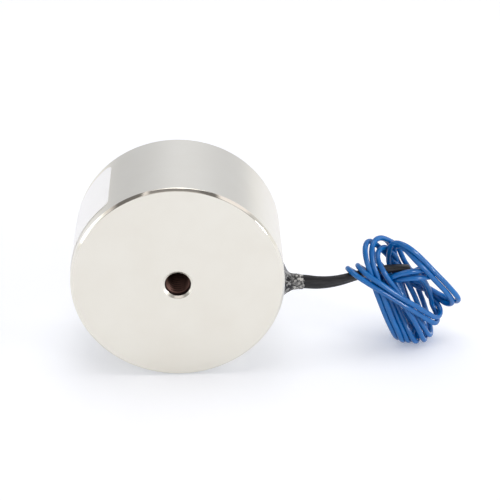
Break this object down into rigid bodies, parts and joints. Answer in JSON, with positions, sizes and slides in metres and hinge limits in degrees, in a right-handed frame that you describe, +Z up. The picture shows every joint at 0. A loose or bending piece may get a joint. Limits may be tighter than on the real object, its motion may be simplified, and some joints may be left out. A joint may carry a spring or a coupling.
{
  "type": "holding electromagnet",
  "caption": "Round pot-shaped holding electromagnet: turned steel body with a threaded mounting hole in its rear face, a sealed coil and insulated leads in a loose bundle.",
  "frame": {"origin": "on the floor below the middle of the pot, which lies on its side", "axes": "+Y along the pot's axis from the threaded rear face to the working face, +X towards the lead exit, +Z up"},
  "size_m": [0.0936, 0.027, 0.05],
  "materials": {
    "nickel": "satin nickel plating on turned steel",
    "nylon": "moulded nylon",
    "copper": "enamelled copper wire",
    "tape": "polyester tape",
    "resin": "cast resin",
    "solder": "bright tin",
    "splice": "shrunk sleeve",
    "lead_blue": "blue PVC insulation",
    "sealant": "glossy hand-applied sealant",
    "sleeve_black": "black shrunk sleeve",
    "label_white": "plain white label"
  },
  "bodies": {
    "root": {"pot": "nickel", "bobbin": "nylon", "winding": "copper", "winding_tape": "tape", "potting": "resin", "coil_tail_a": "copper", "coil_tail_b": "copper", "solder_joint_a": "solder", "solder_joint_b": "solder", "splice_sleeve_a": "splice", "splice_sleeve_b": "splice", "inner_lead_a": "lead_blue", "inner_lead_b": "lead_blue", "exit_sealant": "sealant", "lead_sleeve": "sleeve_black", "lead_hank": "lead_blue", "conductor_end_a": "solder", "conductor_end_b": "solder", "label": "label_white"}
  },
  "joints": []
}
